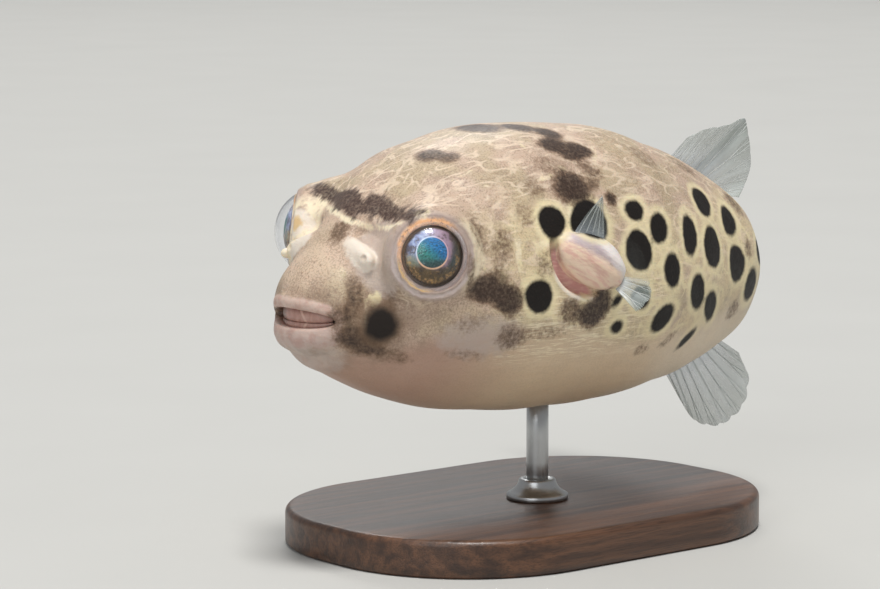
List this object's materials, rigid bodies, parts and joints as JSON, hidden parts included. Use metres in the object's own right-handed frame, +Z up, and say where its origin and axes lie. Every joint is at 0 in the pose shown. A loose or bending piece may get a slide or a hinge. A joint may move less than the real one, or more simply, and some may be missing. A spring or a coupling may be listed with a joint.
{
  "type": "spotted freshwater pufferfish display model",
  "caption": "Spotted freshwater pufferfish at life size, mouth slightly open and tail swung to its right, on a rod and flat oval base.",
  "frame": {"origin": "centre of the stand base's underside", "axes": "+Z up; the fish looks along -X, its left side is towards -Y, and its tail swings round to +Y"},
  "size_m": [0.0706, 0.0555, 0.0451],
  "materials": {
    "skin": "moist scaleless skin, beige with cream lines, yellow between round black spots, pale belly",
    "eye": "glossy clear cornea over an iridescent blue-green pupil and a gold-brown iris",
    "beak": "smooth off-white tooth plates",
    "fin": "thin translucent grey membrane over pale rays",
    "wood": "dark satin varnished wood with a rounded edge",
    "steel": "fine brushed"
  },
  "bodies": {
    "root": {"head": "skin", "trunk": "skin", "tail_stalk": "skin", "beak_upper": "beak", "beak_lower": "beak", "eye_left": "eye", "pectoral_lobe_left": "skin", "pectoral_fin_left": "fin", "eye_right": "eye", "pectoral_lobe_right": "skin", "pectoral_fin_right": "fin", "dorsal_fin": "fin", "anal_fin": "fin", "caudal_fin": "fin", "stand_base": "wood", "stand_collar": "steel", "stand_rod": "steel"}
  },
  "joints": []
}
